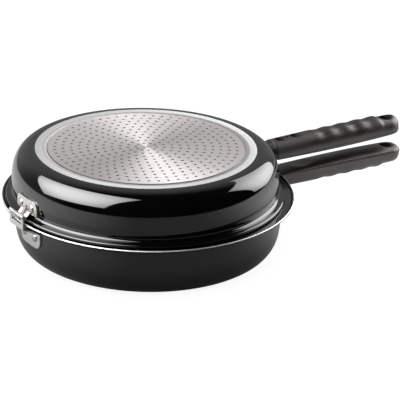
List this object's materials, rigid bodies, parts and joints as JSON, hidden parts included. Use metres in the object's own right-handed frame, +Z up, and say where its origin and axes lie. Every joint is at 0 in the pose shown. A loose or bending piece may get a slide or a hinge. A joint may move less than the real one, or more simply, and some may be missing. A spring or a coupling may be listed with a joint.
{
  "type": "double sided flip pan",
  "caption": "Double-sided flip pan: round black pans that close rim to rim on a hook-and-loop hinge, each with a grooved handle and a perforated base disc",
  "frame": {"origin": "centre of the lower pan's flat base ring", "axes": "+X points from the pans to the handles, the hinge is at -X, +Z is up through the closed pans"},
  "size_m": [0.4039, 0.25, 0.0892],
  "materials": {
    "enamel": "black lacquer outside, matt non-stick coating inside, base ring machined bare",
    "disc_steel": "turned, perforated",
    "bracket_steel": "plain",
    "rivet_aluminium": "satin",
    "ferrule_black": "black, satin",
    "bakelite": "fine moulded texture, satin",
    "screw_steel": "zinc plated",
    "hinge_steel": "bright stamped stainless"
  },
  "bodies": {
    "lower": {"lower_pan": "enamel", "lower_induction_disc": "disc_steel", "lower_handle_bracket": "bracket_steel", "lower_handle_rivets": "rivet_aluminium", "lower_handle_ferrule": "ferrule_black", "lower_handle_grip": "bakelite", "lower_handle_screws": "screw_steel", "lower_handle_washers": "screw_steel", "lower_hinge_loop": "hinge_steel", "lower_hinge_rivets": "rivet_aluminium"},
    "upper": {"upper_pan": "enamel", "upper_induction_disc": "disc_steel", "upper_handle_bracket": "bracket_steel", "upper_handle_rivets": "rivet_aluminium", "upper_handle_ferrule": "ferrule_black", "upper_handle_grip": "bakelite", "upper_handle_screws": "screw_steel", "upper_handle_washers": "screw_steel", "upper_hinge_hook": "hinge_steel", "upper_hinge_rivets": "rivet_aluminium"}
  },
  "joints": [
    {"name": "pan_hinge", "type": "hinge", "parent": "lower", "child": "upper", "pos_m": [-0.1263, 0, 0.054], "axis": [0, -1, 0], "range_deg": [0, 180]}
  ]
}
